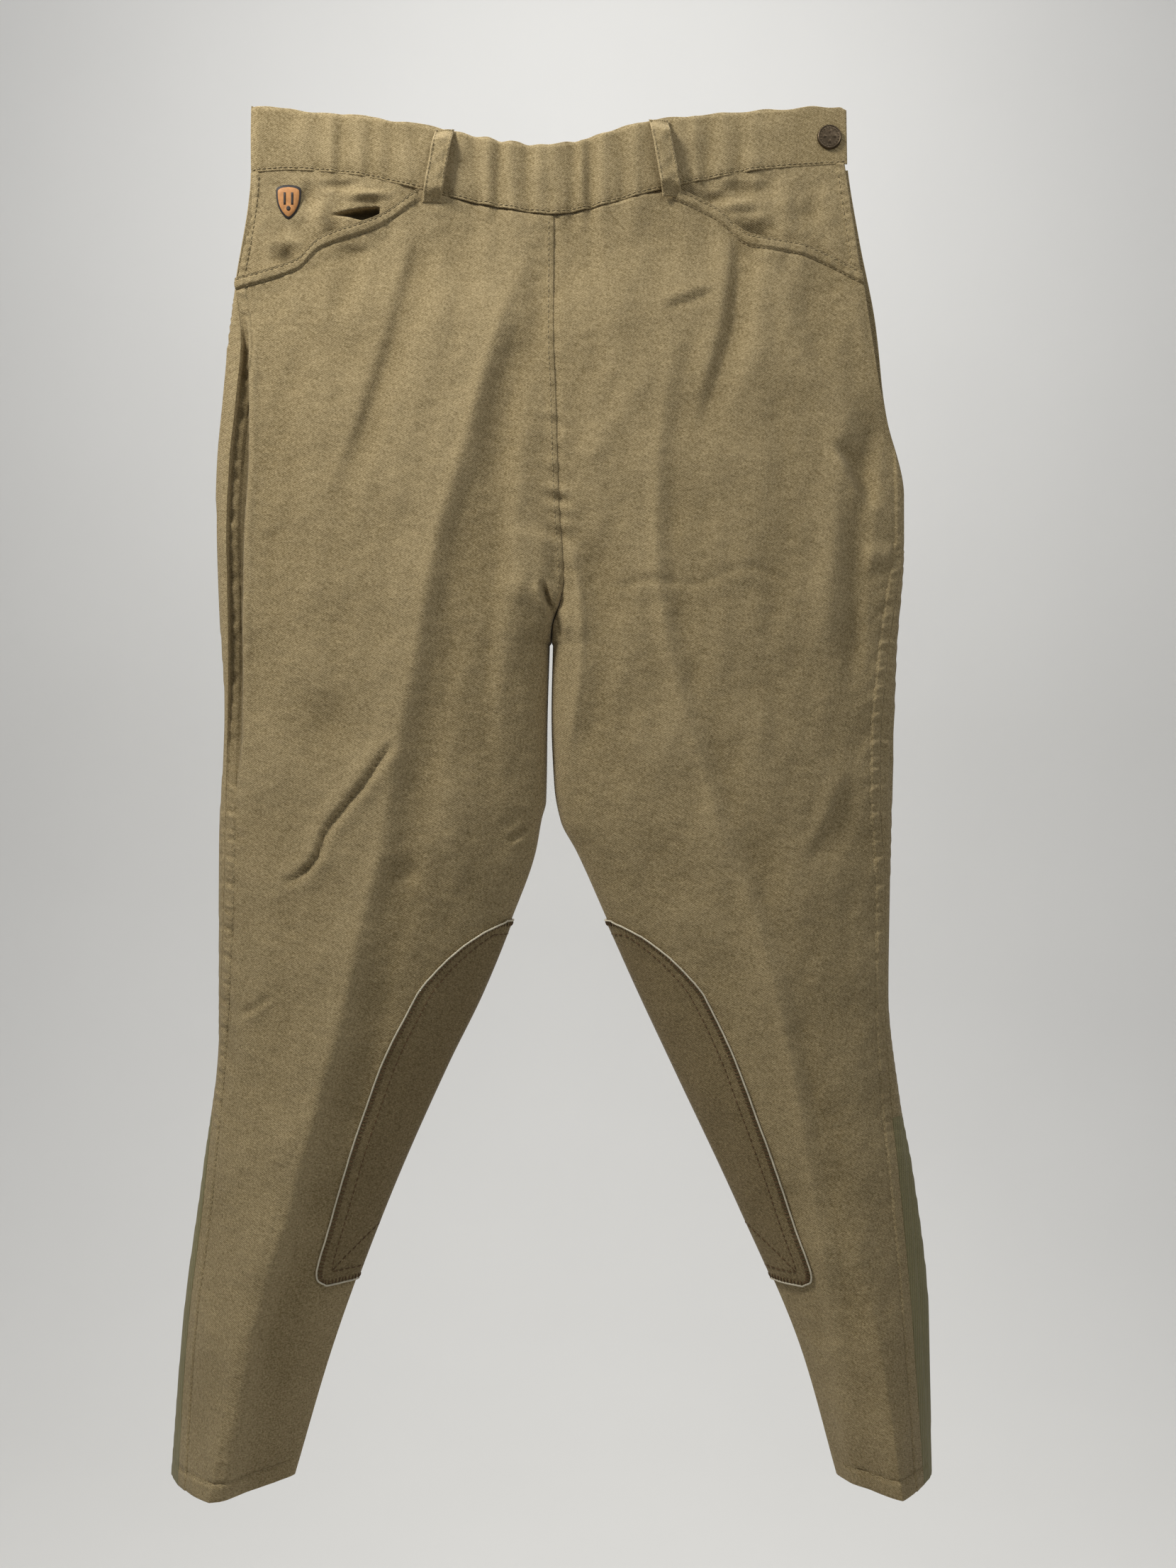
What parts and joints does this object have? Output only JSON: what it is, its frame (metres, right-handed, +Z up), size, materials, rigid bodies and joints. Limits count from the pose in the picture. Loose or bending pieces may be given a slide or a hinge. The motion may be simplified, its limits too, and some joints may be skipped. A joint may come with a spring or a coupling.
{
  "type": "riding breeches",
  "caption": "Tan cotton riding breeches hanging by the waistband, with a lapped side zip and snap, scoop pockets, inner-knee patches and olive stretch calf panels",
  "frame": {"origin": "on the line that holds the waistband up, midway between the two hanging points, level with the top edge at the sides", "axes": "+Z up, +X to the wearer's left, -Y the front"},
  "size_m": [0.526, 0.0739, 0.9457],
  "materials": {
    "body_cloth": "brushed cotton twill, matt, tan",
    "patch_cloth": "brushed cotton twill, matt, tan, stitched over",
    "stretch_cloth": "ribbed stretch knit, matt, olive",
    "lining": "plain cotton lining, matt",
    "edging_cord": "pale raw edge, matt",
    "zip_tape": "woven tape, matt",
    "badge_leather": "smooth tan leather, blackened mark",
    "snap_metal": "antique dark bronze",
    "zip_metal": "dull brass"
  },
  "bodies": {
    "garment": {"left_front_panel": "body_cloth", "right_front_panel": "body_cloth", "left_back_panel": "body_cloth", "right_back_panel": "body_cloth", "left_calf_panel": "stretch_cloth", "right_calf_panel": "stretch_cloth", "left_knee_patch": "patch_cloth", "right_knee_patch": "patch_cloth", "left_patch_edging": "edging_cord", "right_patch_edging": "edging_cord", "left_pocket_facing": "body_cloth", "right_pocket_facing": "body_cloth", "left_pocket_bag": "lining", "right_pocket_bag": "lining", "waistband_front": "body_cloth", "waistband_back": "body_cloth", "waistband_front_lining": "lining", "waistband_back_lining": "lining", "waistband_underlap": "body_cloth", "belt_loop_right_front": "body_cloth", "belt_loop_left_front": "body_cloth", "belt_loop_right_back": "body_cloth", "belt_loop_centre_back": "body_cloth", "belt_loop_left_back": "body_cloth", "snap_stud": "snap_metal", "snap_post": "snap_metal", "zip_tape_front": "zip_tape", "zip_tape_back": "zip_tape", "zip_shield": "lining", "zip_teeth_front": "zip_metal", "zip_teeth_back": "zip_metal", "zip_top_stop_front": "zip_metal", "zip_top_stop_back": "zip_metal", "zip_bottom_stop": "zip_metal", "hip_badge": "badge_leather"},
    "opening_corner": {"waist_tab": "body_cloth", "placket_facing_corner": "body_cloth", "placket_panel_corner": "body_cloth", "snap_cap": "snap_metal", "snap_socket": "snap_metal"},
    "zip_slider": {"zip_slider_body": "zip_metal"},
    "zip_pull": {"zip_pull": "zip_metal"}
  },
  "joints": [
    {"name": "side_opening_fold", "type": "hinge", "parent": "garment", "child": "opening_corner", "pos_m": [0.152, -0.0102, 0], "axis": [0.3468, 0, -0.938], "range_deg": [0, 75]},
    {"name": "zip_slider_travel", "type": "slide", "parent": "garment", "child": "zip_slider", "axis": [0.1551, 0, -0.9879], "range_m": [0, 0.114]},
    {"name": "zip_pull_swing", "type": "hinge", "parent": "zip_slider", "child": "zip_pull", "pos_m": [0.19763, 0, -0.05186], "axis": [0, -1, 0], "range_deg": [0, 120]}
  ]
}
